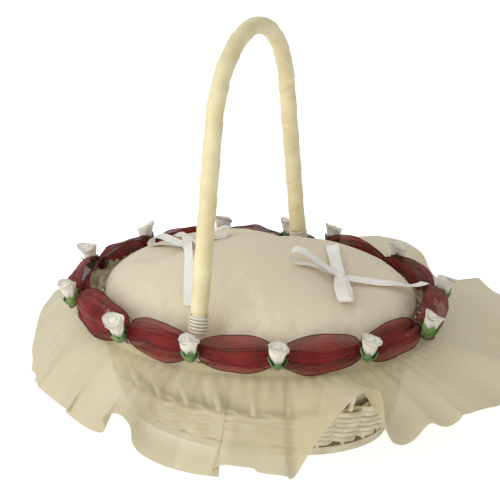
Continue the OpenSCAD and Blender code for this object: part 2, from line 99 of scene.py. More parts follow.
# Length of ribbon over the distance between its ties, and the width of a layer in metres for its threads
PUFF_FULLNESS = 1.15
LAYER_W = 0.03
HEM_R, FOLD_R = 0.36, 0.2
NECK_R = 3.6
TIE_R = 0.6
BUD_AT = (246, 271, 296, 323.5, 351, 384, 417, 443, 458.5, 481, 509, 537, 572)
PUFF_COUNT = len(BUD_AT)
BUD_H, BUD_R = 24, 7.2
BUD_LEAN = 14
BUD_RISE = math.radians(22)
BUD_OUT = NECK_R + 2 * TIE_R + BUD_R + 2 * FIT
BUD_SCALE = 1.1
# A fifth of a turn, from each leaf of a calyx to the next
LEAF_TURN = 1.2566

# Cushion and bows
HALF_LEN, HALF_WID = RIM_A - 11, RIM_B - 14
SEAM_Z = 104
CROWN_H = 35.5
PLUMP = 2.2
LIFT_H = 50
# The cushion lies this far to the right, and its right end this much further
CUSHION_SIDE, CUSHION_END = 2, 2.5
# Most that the cover swells in the simulation, and how many frames it takes
SWELL = 5
SETTLE_STEPS = 20
LEFT_KNOT, RIGHT_KNOT = (-63, 8), (74, -6)
TUFT_DEEP, TUFT_WIDE = 6, 20
SATIN_W = 10


def wall_a(z):
    """Half the length of the wall at a height."""
    return BASE_A + (RIM_A - BASE_A) * z / BORDER_Z


def wall_b(z):
    """Half the width of the wall at a height."""
    return BASE_B + (RIM_B - BASE_B) * z / BORDER_Z


def oval(a, b, t):
    return Vector((a * math.cos(t), b * math.sin(t), 0))


def oval_out(a, b, t):
    """Direction straight out of an oval."""
    return Vector((b * math.cos(t), a * math.sin(t), 0)).normalized()


def clamp(x, low, high):
    return max(low, min(high, x))


# Materials

def linear(red, green, blue):
    """Linear colour of a display colour given from 0 to 255."""
    parts = [c / 255 for c in (red, green, blue)]
    return [c / 12.92 if c <= 0.04045 else ((c + 0.055) / 1.055) ** 2.4 for c in parts] + [1]


def new_material(name):
    made = bpy.data.materials.new(name)
    made.use_nodes = True
    nodes = made.node_tree.nodes
    return made, nodes, made.node_tree.links, nodes["Principled BSDF"]


def add_ramp(nodes, links, factor, stops):
    ramp = nodes.new("ShaderNodeValToRGB")
    while len(ramp.color_ramp.elements) < len(stops):
        ramp.color_ramp.elements.new(0.5)
    for element, (place, colour) in zip(ramp.color_ramp.elements, stops):
        element.position = place
        element.color = colour
    links.new(factor, ramp.inputs["Fac"])
    return ramp.outputs["Color"]


def add_noise(nodes, links, scale, detail=4, stretch=(1, 1, 1), coordinates="Object"):
    place = nodes.new("ShaderNodeTexCoord")
    mapping = nodes.new("ShaderNodeMapping")
    mapping.inputs["Scale"].default_value = stretch
    links.new(place.outputs[coordinates], mapping.inputs["Vector"])
    texture = nodes.new("ShaderNodeTexNoise")
    texture.inputs["Scale"].default_value = scale
    texture.inputs["Detail"].default_value = detail
    links.new(mapping.outputs["Vector"], texture.inputs["Vector"])
    return texture.outputs["Fac"]


def add_bump(nodes, links, shader, height, strength, distance):
    bump = nodes.new("ShaderNodeBump")
    bump.inputs["Strength"].default_value = strength
    bump.inputs["Distance"].default_value = distance
    links.new(height, bump.inputs["Height"])
    links.new(bump.outputs["Normal"], shader.inputs["Normal"])


def matte_material(name, dark, light, scale, roughness=0.6, bump=0.2, depth=0.0004, sheen=0.0,
                   stretch=(1, 1, 1), coordinates="Object"):
    made, nodes, links, shader = new_material(name)
    grain = add_noise(nodes, links, scale, 5, stretch, coordinates)
    colour = add_ramp(nodes, links, grain, [(0.3, linear(*dark)), (0.68, linear(*light))])
    links.new(colour, shader.inputs["Base Color"])
    shader.inputs["Roughness"].default_value = roughness
    shader.inputs["Specular IOR Level"].default_value = 0.3
    shader.inputs["Sheen Weight"].default_value = sheen
    add_bump(nodes, links, shader, grain, bump, depth)
    return made


def ribbed_material(name, dark, light, pitch):
    """Ivory cotton with a fine rib that runs across the cushion, with painted shade: the troughs of the
    ribs are darker and the crests lighter.
    """
    made, nodes, links, shader = new_material(name)
    place = nodes.new("ShaderNodeTexCoord")
    turned = nodes.new("ShaderNodeMapping")
    turned.inputs["Rotation"].default_value = (0, 0, math.radians(-33))
    links.new(place.outputs["Object"], turned.inputs["Vector"])
    ribs = nodes.new("ShaderNodeTexWave")
    ribs.inputs["Scale"].default_value = 0.314 / pitch
    ribs.inputs["Distortion"].default_value = 0.6
    links.new(turned.outputs["Vector"], ribs.inputs["Vector"])
    # Painted shade: the colour follows the ribs like the bump does, darker in their troughs and lighter on
    # their crests
    colour = add_ramp(nodes, links, ribs.outputs["Fac"], [(0.1, linear(*dark)), (0.6, linear(*light))])
    links.new(colour, shader.inputs["Base Color"])
    shader.inputs["Roughness"].default_value = 0.75
    shader.inputs["Specular IOR Level"].default_value = 0.2
    shader.inputs["Sheen Weight"].default_value = 0.15
    add_bump(nodes, links, shader, ribs.outputs["Fac"], 0.25, 0.0004)
    return made


def sheer_material(name, dark, light, thin, thick, gloss, threads, gathers=None):
    """Organza: threads in two directions leave part of the light through.

    gathers names the mesh attribute that says how dense the cloth lies."""
    made, nodes, links, shader = new_material(name)
    grain = add_noise(nodes, links, threads, 3, (1, 0.06, 1), "UV")
    cross = add_noise(nodes, links, threads, 3, (0.06, 1, 1), "UV")
    both = nodes.new("ShaderNodeMath")
    both.operation = "ADD"
    links.new(grain, both.inputs[0])
    links.new(cross, both.inputs[1])
    colour = add_ramp(nodes, links, grain, [(0.3, linear(*dark)), (0.7, linear(*light))])
    links.new(colour, shader.inputs["Base Color"])
    shader.inputs["Roughness"].default_value = 0.5
    shader.inputs["Specular IOR Level"].default_value = gloss
    shader.inputs["Sheen Weight"].default_value = 0.1
    glow = nodes.new("ShaderNodeBsdfTranslucent")
    links.new(colour, glow.inputs["Color"])
    cloth = nodes.new("ShaderNodeMixShader")
    cloth.inputs["Fac"].default_value = 0.18
    links.new(shader.outputs["BSDF"], cloth.inputs[1])
    links.new(glow.outputs["BSDF"], cloth.inputs[2])
    cover = nodes.new("ShaderNodeMapRange")
    cover.inputs["From Min"].default_value = 0.7
    cover.inputs["From Max"].default_value = 1.3
    cover.inputs["To Min"].default_value = thin
    cover.inputs["To Max"].default_value = thick
    links.new(both.outputs["Value"], cover.inputs["Value"])
    share = cover.outputs["Result"]
    if gathers:
        dense = nodes.new("ShaderNodeAttribute")
        dense.attribute_name = gathers
        product = nodes.new("ShaderNodeMath")
        product.operation = "MULTIPLY"
        links.new(share, product.inputs[0])
        links.new(dense.outputs["Fac"], product.inputs[1])
        share = product.outputs["Value"]
    clear = nodes.new("ShaderNodeBsdfTransparent")
    sheer = nodes.new("ShaderNodeMixShader")
    links.new(share, sheer.inputs["Fac"])
    links.new(clear.outputs["BSDF"], sheer.inputs[1])
    links.new(cloth.outputs["Shader"], sheer.inputs[2])
    links.new(sheer.outputs["Shader"], nodes["Material Output"].inputs["Surface"])
    return made


WICKER = matte_material("wicker", (216, 202, 168), (250, 244, 226), 60, 0.55, 0.3, stretch=(1, 1, 3))
CANE = matte_material("cane", (225, 216, 190), (246, 241, 226), 70, 0.45, 0.2)
RIBBON = matte_material("handle_ribbon", (228, 214, 165), (246, 235, 191), 60, 0.42, 0.15, 0.0003, 0.2)
# The darker of the two cotton colours is painted shade for the troughs of the ribs
COTTON = ribbed_material("cushion_cotton", (229, 216, 188), (240, 229, 204), 0.002)
SATIN = matte_material("satin", (240, 236, 226), (253, 251, 246), 40, 0.35, 0.1, 0.0002, 0.3)
PETAL = matte_material("petal", (234, 229, 214), (249, 245, 234), 90, 0.6, 0.2, 0.0002, 0.2)
LEAF = matte_material("leaf", (70, 116, 62), (132, 164, 100), 110, 0.5, 0.3, 0.0002)
THREAD = matte_material("tie_thread", (60, 84, 48), (104, 124, 74), 300, 0.7, 0.2, 0.0001)
ORGANZA = sheer_material("skirt_organza", (207, 195, 159), (223, 212, 178), 0.9, 0.98, 0.3, 30, "gathers")
TAPE = matte_material("heading_tape", (206, 195, 158), (229, 218, 183), 120, 0.7, 0.2, 0.0002)
WINE = sheer_material("garland_organza", (110, 20, 21), (153, 43, 39), 0.84, 0.97, 0.2, 40, "gathers")
WINE_HEM = matte_material("garland_hem", (62, 10, 20), (96, 22, 32), 200, 0.5, 0.1, 0.0001)


# Pieces

def grid_faces(rows, cols, wrap_rows=False, wrap_cols=False):
    faces = []
    for i in range(rows if wrap_rows else rows - 1):
        k = (i + 1) % rows
        for j in range(cols if wrap_cols else cols - 1):
            m = (j + 1) % cols
            faces.append((i * cols + j, i * cols + m, k * cols + m, k * cols + j))
    return faces


def make_piece(name, points, faces, material, slot, body="basket"):
    """A smooth mesh from points in millimetres, that moves with a body."""
    mesh = bpy.data.meshes.new(name)
    mesh.from_pydata([(p[0] * MM, p[1] * MM, p[2] * MM) for p in points], [], faces)
    work = bmesh.new()
    work.from_mesh(mesh)
    bmesh.ops.recalc_face_normals(work, faces=work.faces)
    work.to_mesh(mesh)
    work.free()
    mesh.polygons.foreach_set("use_smooth", [True] * len(mesh.polygons))
    mesh.materials.append(material)
    mesh.update()
    thing = bpy.data.objects.new(name, mesh)
    bpy.context.scene.collection.objects.link(thing)
    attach(thing, body)
    return thing


def set_uv(thing, places):
    """Lay the cloth flat: one place in metres for each point."""
    layer = thing.data.uv_layers.new(name="flat")
    for loop in thing.data.loops:
        layer.data[loop.index].uv = places[loop.vertex_index]


def sweep(rings, closed):
    """Points and faces of a tube through rings, with its ends closed if it isn't a loop."""
    sides = len(rings[0])
    points = [p for ring in rings for p in ring]
    faces = grid_faces(len(rings), sides, closed, True)
    if not closed:
        faces.append(tuple(range(sides)))
        faces.append(tuple(range((len(rings) - 1) * sides, len(rings) * sides))[::-1])
    return points, faces


def ring_at(p, u, v, radius, sides):
    """Points of a ring around p, in the plane of u and v."""
    ring = []
    for j in range(sides):
        turn = 2 * math.pi * j / sides
        ring.append(p + radius * (math.cos(turn) * u + math.sin(turn) * v))
    return ring


# Wicker

def wall_rod(start_z, turns, first, seed, tip=0):
    """One of two rods wound up the wall, in front of one stake and behind the next.

    tip is how many turns more its thin end takes to run out level under what lies above."""
    per_stake = 8
    reach = STAKE_R / math.cos(WALL_TILT) + ROD_DEEP + FIT
    rings = []
    for k in range((turns + tip) * STAKE_COUNT * per_stake - per_stake // 2):
        place = k / per_stake + ROD_START
        t = 2 * math.pi * place / STAKE_COUNT
        thin = max(0, place / STAKE_COUNT - turns)
        half_tall = ROD_TALL * (1 - thin) + ROD_TIP * thin
        z = start_z + ROW_PITCH * min(turns, place / STAKE_COUNT) + ROD_TALL - half_tall
        side = -1 if first else 1
        swing = side * math.tanh(ROD_SNAP * math.sin(math.pi * place)) / math.tanh(ROD_SNAP)
        out = oval_out(wall_a(z), wall_b(z), t)
        middle = oval(wall_a(z), wall_b(z), t) + swing * reach * out
        cross = ROD_CROSS * math.cos(math.pi * place) * side
        middle.z = z + cross * (1 - thin) + 0.25 * noise.noise((place * 0.37, seed, 0))
        uneven = 1 + 0.08 * noise.noise((place * 0.21, seed, 5))
        rings.append(ring_at(middle, uneven * half_tall * UP, ROD_DEEP * (1 - 0.5 * thin) * out, 1, 10))
    return sweep(rings, False)


def border_strand(start):
    """One of the two strands twisted into the border, a little thicker than its solid."""
    centre_r = BORDER_R * 0.56
    extra = 0.5
    steps = BORDER_TWISTS * 14
    rings = []
    for i in range(steps):
        t = 2 * math.pi * i / steps
        turn = BORDER_TWISTS * t + start
        out = oval_out(RIM_A, RIM_B, t)
        middle = oval(RIM_A, RIM_B, t) + centre_r * math.cos(turn) * out
        middle.z = BORDER_Z + extra + centre_r * math.sin(turn)
        rings.append(ring_at(middle, UP, out, BORDER_R + extra - centre_r, 10))
    return sweep(rings, True)


def join(*parts):
    """Several pairs of points and faces as one."""
    points, faces = [], []
    for more_points, more_faces in parts:
        first = len(points)
        points += more_points
        faces += [tuple(first + i for i in face) for face in more_faces]
    return points, faces


def build_wicker():
    """Two bands of weave, each of a pair of rods, and the border."""
    pair = join(wall_rod(WEAVE_START, LOWER_TURNS, 0, 1), wall_rod(WEAVE_START, LOWER_TURNS, 1, 3))
    lower = make_piece("side_rods", *pair, WICKER, "wicker")
    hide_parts("side_weave")
    pair = join(wall_rod(UPPER_START, UPPER_TURNS, 1, 2, 1), wall_rod(UPPER_START, UPPER_TURNS, 0, 4, 1))
    upper = make_piece("upper_rods", *pair, WICKER, "wicker")
    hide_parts("upper_weave")
    border = make_piece("border", *join(border_strand(0), border_strand(math.pi)), WICKER, "wicker")
    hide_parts("rim_border")


# Handle

ELBOW_Y = wall_b(ELBOW_Z) - LEG_INSET
ARCH_Z = ((HANDLE_TOP - ELBOW_Y * math.cos(HANDLE_LEAN) - ELBOW_Z * math.sin(HANDLE_LEAN))
          / (1 - math.sin(HANDLE_LEAN)))
ARCH_R = HANDLE_TOP - ARCH_Z
LEG_RUN = ELBOW_Y - ARCH_R * math.cos(HANDLE_LEAN)
LEG_RISE = ARCH_Z + ARCH_R * math.sin(HANDLE_LEAN) - ELBOW_Z
LEG_LEN = math.hypot(LEG_RUN, LEG_RISE)
ARCH_LEN = ARCH_R * (math.pi - 2 * HANDLE_LEAN)
HOOP_LEN = 2 * LEG_LEN + ARCH_LEN
WRAP_START = HANDLE_R + LASH_TURNS * LASH_PITCH + 2 * LASH_R


def along(s):
    """Point, direction and outward ray along the upper handle, from the elbow of the rear leg."""
    if s < LEG_LEN:
        y, z = ELBOW_Y - s * math.sin(HANDLE_LEAN), ELBOW_Z + s * math.cos(HANDLE_LEAN)
        turn = math.pi / 2 + HANDLE_LEAN
    elif s < LEG_LEN + ARCH_LEN:
        angle = HANDLE_LEAN + (s - LEG_LEN) / ARCH_R
        y, z = ARCH_R * math.cos(angle), ARCH_Z + ARCH_R * math.sin(angle)
        turn = math.pi / 2 + angle
    else:
        rest = HOOP_LEN - s
        y, z = -(ELBOW_Y - rest * math.sin(HANDLE_LEAN)), ELBOW_Z + rest * math.cos(HANDLE_LEAN)
        turn = 3 * math.pi / 2 - HANDLE_LEAN
    forward = Vector((0, math.cos(turn), math.sin(turn)))
    out = Vector((0, math.sin(turn), -math.cos(turn)))
    return Vector((HANDLE_SIDE, y, z)), forward, out


def build_handle():
    """Ribbon wound around the hoop, each turn over the edge of the last, and the two lashings."""
    length = HOOP_LEN - 2 * WRAP_START
    turns = round(length / WRAP_PITCH)
    rings_per_turn = 26
    sides = 44
    rings = []
    for i in range(turns * rings_per_turn + 1):
        s = WRAP_START + length * i / turns / rings_per_turn
        middle, _, out = along(s)
        ring = []
        for j in range(sides):
            turn = 2 * math.pi * j / sides
            phase = (j / sides - i / rings_per_turn) % 1
            edge = 0.55 * phase ** 2
            crease = 0.16 * noise.noise((math.cos(turn) * 1.6, math.sin(turn) * 1.6, s / 9))
            pull = 0.12 * math.sin(2 * math.pi * 3 * phase + s / 7)
            radius = HANDLE_R + WRAP_T - 0.5 + edge + crease + pull * (1 - phase)
            ring.append(middle + radius * (math.cos(turn) * Vector((1, 0, 0)) + math.sin(turn) * out))
        rings.append(ring)
    wrap = make_piece("handle_wrap", *sweep(rings, False), RIBBON, "handle_ribbon")
    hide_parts("handle_ribbon")
    for name, front in (("lashing_front", True), ("lashing_back", False)):
        rings = []
        per_turn = 28
        for i in range(LASH_TURNS * per_turn + 1):
            s = HANDLE_R + LASH_R + LASH_PITCH * i / per_turn
            middle, forward, out = along(HOOP_LEN - s if front else s)
            turn = 2 * math.pi * i / per_turn
            ray = math.cos(turn) * Vector((1, 0, 0)) + math.sin(turn) * out
            rings.append(ring_at(middle + (HANDLE_R + FIT / 2 + LASH_R) * ray, ray, forward, LASH_R, 8))
        coil = make_piece(name + "_coil", *sweep(rings, False), CANE, "lashing")
        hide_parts(name)


# Main folds of the skirt at its hem: degrees from +X, reach out from the heading, drop below it

SKIRT_HEM = ((0, 74, 12), (12, 74, 22), (24, 75, 5), (42, 78, 9), (60, 76, 17), (67, 78, 3), (76, 78, -5),
             (90, 76, 8), (99, 74, 18), (108, 75, 8), (127, 70, 32), (136, 73, 20), (157, 67, 40),
             (174, 67, 37), (186, 57, 50), (204, 40, 58), (222, 45, 43), (240, 44, 44), (252, 50, 45),
             (262, 64, 14), (268, 68, 38), (275, 62, 51), (284, 62, 53), (287, 66, 36), (300, 63, 50),
             (307, 76, -10), (314, 76, -14), (320, 74, 28), (328, 74, 14), (332, 75, 21), (339, 75, 17),
             (350, 73, 28))
HEM_REACH = [(t, reach) for t, reach, drop in SKIRT_HEM]
HEM_DROP = [(t, drop) for t, reach, drop in SKIRT_HEM]
SKIRT_W = 80
SKIRT_RIPPLE, SKIRT_SWAY = 5.5, 4.5
# Metres of cloth around the rim, which set the scale of its threads
SKIRT_THREADS = 1.6
# Middle of the front, where the cloth is fullest and sheerest, and how wide that is, in degrees
FRONT_T = 280
FULL_WIDE = 42
FRONT_CLEAR, CLEAR_WIDE = 0.42, 28
# Tube folds: degrees from +X, half width in degrees, height
SKIRT_FOLDS = ((204, 4.5, 5), (226, 3.5, 6), (241, 4, 9), (255, 3, 7), (266, 2.6, 7), (283, 3, 8),
               (297, 2.6, 6), (317, 3.5, 9), (335, 3, 7), (352, 4, 7), (12, 4, 6), (48, 4, 6), (90, 4, 6),
               (130, 4, 6), (168, 4, 6))
SKIRT_T = 0.8
GATHERS = 90
HEADING_H, HEADING_T = 9, 1.2
HEADING_Z = BASKET_H - HEADING_H - 6
HEADING_OFF = BORDER_R + FIT + HEADING_T / 2
PUCKERS, PUCKER_DEEP = 180, 0.35
SKIRT_TOP = HEADING_Z + HEADING_H / 2
SKIRT_OFF = BORDER_R + FIT + HEADING_T + FIT + SKIRT_T / 2


def around(table, t):
    """Smooth value at t degrees between the entries of a table that closes on itself."""
    count = len(table)
    t = t % 360
    k = max(i for i in range(count) if table[i][0] <= t)
    places = []
    for step in (-1, 0, 1, 2):
        place, value = table[(k + step) % count]
        places.append((place + 360 * ((k + step) // count), value))
    (t0, v0), (t1, v1), (t2, v2), (t3, v3) = places
    slope1 = (v2 - v0) / (t2 - t0) * (t2 - t1)
    slope2 = (v3 - v1) / (t3 - t1) * (t2 - t1)
    x = (t - t1) / (t2 - t1)
    return ((2 * x ** 3 - 3 * x ** 2 + 1) * v1 + (x ** 3 - 2 * x ** 2 + x) * slope1
            + (3 * x ** 2 - 2 * x ** 3) * v2 + (x ** 3 - x ** 2) * slope2)


def gather_wave(t):
    """Uneven gathers along the heading, from -1 to 1."""
    return math.sin(math.radians(t * GATHERS + 40 * math.sin(math.radians(t) * 7)))


def skirt_point(t, share):
    """Point of the skirt at t degrees around the rim and a share of the way from heading to hem."""
    turn = math.radians(t)
    a, b = RIM_A + SKIRT_OFF, RIM_B + SKIRT_OFF
    out = oval_out(a, b, turn)
    sideways = Vector((-out.y, out.x, 0))
    hem_reach, hem_drop = around(HEM_REACH, t), around(HEM_DROP, t)
    fall = math.atan2(hem_drop, hem_reach)
    reach, rise = hem_reach * share, -hem_drop * share ** 1.3
    # Gathers at the heading die out towards the hem, and soft folds grow
    gather = 1.1 * (1 - share) ** 4 * gather_wave(t)
    gather *= clamp(share * 8, 0, 1)
    phase = math.radians(t * 17) + 1.6 * math.sin(turn * 5) + 1.0 * math.sin(turn * 3 + 1)
    full = 0.3 + 0.7 * math.exp(-((t - FRONT_T) / FULL_WIDE) ** 2)
    ripple = SKIRT_RIPPLE * full * share ** 1.2 * math.cos(phase)
    ripple += 2.4 * share * noise.noise((math.cos(turn) * 6, math.sin(turn) * 6, share * 0.8))
    sway = SKIRT_SWAY * full * share ** 1.5 * math.sin(2 * phase)
    for place, wide, tall in SKIRT_FOLDS:
        aside = ((t - place + 180) % 360 - 180) / wide
        if abs(aside) < 3:
            ripple += tall * share ** 1.3 * math.exp(-aside * aside)
            sway -= 1.5 * tall * share ** 1.5 * aside * math.exp(-aside * aside)
    lift = gather + ripple
    reach += lift * math.sin(fall)
    rise += lift * math.cos(fall)
    p = oval(a, b, turn) + reach * out + sway * sideways
    p.z = SKIRT_TOP + rise
    return p


def frill_point(t, share):
    """Point of the narrow frill that stands up from the heading, outside the border."""
    turn = math.radians(t)
    out = oval_out(RIM_A + SKIRT_OFF, RIM_B + SKIRT_OFF, turn)
    gather = 0.7 * share * gather_wave(t)
    # It is taller at the back and at the two ends, most at the left one
    more = 6 if math.cos(turn) > 0 else 9
    tall = 6 + 5 * clamp(math.sin(turn) * 2, 0, 1) + more * math.cos(turn) ** 6
    tall += 0.8 * noise.noise((math.cos(turn) * 12, math.sin(turn) * 12, 2))
    p = oval(RIM_A + SKIRT_OFF, RIM_B + SKIRT_OFF, turn) + (0.4 + gather) * share * out
    p.z = SKIRT_TOP + tall * share
    return p


def build_heading():
    """Puckered tape around the border that the skirt hangs from."""
    columns, rows = 1440, 5
    a, b = RIM_A + HEADING_OFF, RIM_B + HEADING_OFF
    points = []
    for i in range(columns):
        turn = 2 * math.pi * i / columns
        p = oval(a, b, turn) + PUCKER_DEEP * math.sin(PUCKERS * turn) * oval_out(a, b, turn)
        for row in range(rows):
            points.append(p + (HEADING_Z + HEADING_H * row / (rows - 1)) * UP)
    band = make_piece("heading_band", points, grid_faces(columns, rows, True, False), TAPE, "skirt_organza")
    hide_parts("skirt_heading")
    return band


def build_skirt():
    """The gathered strip, with its frill, on the heading."""
    columns, rows = 1080, 30
    frill_rows = 4
    drop_rows = rows - 1 - frill_rows
    points = []
    places = []
    for i in range(columns):
        t = 360 * i / columns
        for row in range(rows):
            share = (row - frill_rows) / drop_rows
            if row < frill_rows:
                points.append(frill_point(t, (frill_rows - row) / frill_rows))
            else:
                points.append(skirt_point(t, share))
            places.append((SKIRT_THREADS * i / columns, SKIRT_W * MM * share))
    faces = grid_faces(columns, rows, True, False)
    skirt = make_piece("skirt_cloth", points, faces, ORGANZA, "skirt_organza")
    set_uv(skirt, places)
    dense = skirt.data.attributes.new("gathers", "FLOAT", "POINT")
    for k, value in enumerate(dense.data):
        t = 360 * (k // rows) / columns
        share = (k % rows - frill_rows) / drop_rows
        between = clamp((share - 0.08) / 0.25, 0, 1) * clamp((0.86 - share) / 0.25, 0, 1)
        value.value = 1 - FRONT_CLEAR * math.exp(-((t - FRONT_T) / CLEAR_WIDE) ** 2) * between
    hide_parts("skirt")
    build_heading()


# Garland

def puff_place(t, wide, thick):
    """Point of the garland at t degrees, by its distance across the slanting ribbon and out from it."""
    turn = math.radians(t)
    out = oval_out(GARLAND_A, GARLAND_B, turn)
    base = oval(GARLAND_A, GARLAND_B, turn)
    across = math.cos(PUFF_LEAN) * UP - math.sin(PUFF_LEAN) * out
    face = math.sin(PUFF_LEAN) * UP + math.cos(PUFF_LEAN) * out
    return base + GARLAND_Z * UP + wide * across + thick * face


def puff_point(t0, t1, size, edges, deep, ends, seed, u, share):
    """Point of one layer of sheer ribbon between two ties.

    u runs from tie to tie and share from the lower to the upper edge, which are given as shares of
    the half width. deep is how far the layer stands out, and ends is how slowly it fills from a tie."""
    skew = 1 + 0.25 * math.sin(5 * seed)
    bulge = max(0.0, math.sin(math.pi * u ** skew)) ** ends
    half = NECK_R + (size * PUFF_H / 2 - NECK_R) * bulge
    low = edges[0] * (1.04 + 0.16 * noise.noise((2.6 * u + seed, 0, 4)))
    high = edges[1] * (1 + 0.2 * noise.noise((2.6 * u + seed, 0, 9)))
    sway = 0.16 * math.sin(2 * math.pi * 1.1 * u + seed) * bulge
    low += sway if edges[0] > -0.9 else 0
    high += sway if edges[1] < 0.9 else 0
    w = low + (high - low) * share
    swell = deep * (1 - 0.75 * min(1, w * w)) * (0.35 + 0.65 * bulge) * size
    pleat = 0.5 * math.sin(9 * w + seed + 2.5 * u) + 0.45 * math.sin(19 * w + 3 * seed - 5 * u)
    soft = 2.6 * noise.noise((3.2 * u + seed, 1.8 * w, seed)) * bulge
    return puff_place(t0 + (t1 - t0) * (0.01 + 0.98 * u), half * w, swell + 0.8 * pleat + soft)


def puff_sheet(place, rows, cols):
    """Mesh of one layer; place gives its point for two shares."""
    points = []
    for i in range(rows):
        for j in range(cols):
            points.append(place(i / (rows - 1), j / (cols - 1)))
    return points, grid_faces(rows, cols)


def hem_cord(place, first, last, start, end, bow, radius):
    """Rolled edge or sharp fold of a layer, between two shares of its length and of its height."""
    steps = 32
    line = []
    for i in range(steps + 1):
        x = i / steps
        level = start + (end - start) * x + bow * math.sin(math.pi * x)
        line.append(place(first + (last - first) * x, level))
    rings = []
    for i, p in enumerate(line):
        step = (line[min(steps, i + 1)] - line[max(0, i - 1)]).normalized()
        side = step.cross(UP).normalized()
        rings.append(ring_at(p, side, side.cross(step), radius, 6))
    return sweep(rings, False)


def neck(t0):
    """Gathered ribbon inside a tie, between two puffs."""
    half, sides, inside_r = 4, 18, 3.1
    rings = []
    for i in range(-half, half + 1):
        t = t0 + 0.45 * i
        flare = 1 + 0.06 * i ** 2 / 4
        ring = []
        for j in range(sides):
            turn = 2 * math.pi * j / sides
            radius = inside_r * flare * (1 + 0.1 * (j % 2))
            ring.append(puff_place(t, radius * math.cos(turn), radius * math.sin(turn)))
        rings.append(ring)
    return sweep(rings, False)


def build_puff(n):
    """Two layers of ribbon between a tie and the next, with their hems and folds."""
    t0 = BUD_AT[n - 1]
    t1 = BUD_AT[n % PUFF_COUNT] + (360 if n == PUFF_COUNT else 0)
    chord = (puff_place(t1, 0, 0) - puff_place(t0, 0, 0)).length
    size = min(1, chord / FULL_PUFF)
    seed = random.uniform(0, 6)
    back_edge, front_edge = random.uniform(-0.7, -0.25), random.uniform(0.05, 0.5)
    # At the back and the ends, where the inside shows, both layers are nearly as tall as the puff
    if 6 <= n <= 12:
        back_edge, front_edge = -0.95, random.uniform(0.6, 0.9)
    low = -1.2 if 10 <= n <= 12 else -1
    high = 1.4 if 7 <= n <= 10 else 1
    inner, outer = PUFF_DEEP.get(n, USUAL_DEEP)
    ends = 0.36 if n in PUFF_DEEP else 0.5
    kinds = [((back_edge, high), inner), ((low, front_edge), outer)]
    if n % 2:
        kinds = [((low, front_edge), inner), ((back_edge, high), outer)]
    rows, cols = 41, 25
    sheets, hems, places = [], [], []
    length = PUFF_FULLNESS * chord * MM
    for layer, (edges, deep) in enumerate(kinds):
        def place(u, share, edges=edges, deep=deep, seed=seed + 2 * layer):
            return puff_point(t0, t1, size, edges, deep, ends, seed, u, share)
        sheets.append(puff_sheet(place, rows, cols))
        hems += [hem_cord(place, 0, 1, 0, 0, 0, HEM_R), hem_cord(place, 0, 1, 1, 1, 0, HEM_R)]
        for _ in range(2):
            start, end = random.uniform(0.2, 0.8), random.uniform(0.1, 0.9)
            bow = random.uniform(-0.25, 0.25)
            first = random.choice((0, random.uniform(0.1, 0.4)))
            hems.append(hem_cord(place, first, 1 if first == 0 else 0.97, start, end, bow, FOLD_R))
        for i in range(rows):
            for j in range(cols):
                places.append((length * i / (rows - 1), LAYER_W * (layer + j / (cols - 1))))
    puff = make_piece(f"puff_ribbon_{n:02d}", *join(*sheets), WINE, "garland_organza")
    set_uv(puff, places)
    dense = puff.data.attributes.new("gathers", "FLOAT", "POINT")
    # The puffs at the front are a little sheerer
    for value in dense.data:
        value.value = 1 if n >= 6 else 0.88
    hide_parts(f"puff_{n:02d}")
    hems.append(neck(t0))
    edge = make_piece(f"puff_hems_{n:02d}", *join(*hems), WINE_HEM, "garland_organza")


def bud_frame(n):
    """Placement of a rosebud in the row frame, its foot at the origin of its own."""
    t = math.radians(BUD_AT[n - 1])
    base = oval(GARLAND_A, GARLAND_B, t)
    out = oval_out(GARLAND_A, GARLAND_B, t)
    place = Matrix.Translation((base.x, base.y, GARLAND_Z))
    place = place @ Matrix.Rotation(math.atan2(out.y, out.x), 4, "Z")
    place = place @ Matrix.Translation((BUD_OUT * math.cos(BUD_RISE), 0, BUD_OUT * math.sin(BUD_RISE)))
    place = place @ Matrix.Rotation(math.radians(BUD_LEAN), 4, "Y")
    return place @ Matrix.Translation((0, 0, -BUD_H / 2 - 0.5)) @ Matrix.Scale(BUD_SCALE, 4)


def bud_side(turn, v, spin, seed):
    """Side of a closed bud at a share of its height, with the edges of its three wrapped petals."""
    facing = max(0, math.cos(turn - spin - 0.4))
    radius = 1.6 + 4.4 * v ** 0.62 + (0.3 + 1.9 * facing ** 1.5) * max(0, (v - 0.6) / 0.4) ** 2
    for k in range(3):
        past = (turn - spin - 2.1 * k - 0.9 * v) % (2 * math.pi)
        radius += 0.85 * clamp(v * 3, 0, 1) * math.exp(-past / 0.6)
    radius += 0.5 * noise.noise((2 * math.cos(turn) + seed, 2 * math.sin(turn), 2 * v))
    top = 19.6 + 1.9 * math.cos(turn - spin + 1) + 1.0 * math.cos(2 * turn - seed) + 1.4 * facing ** 6
    return radius, 3 + (top - 3) * v


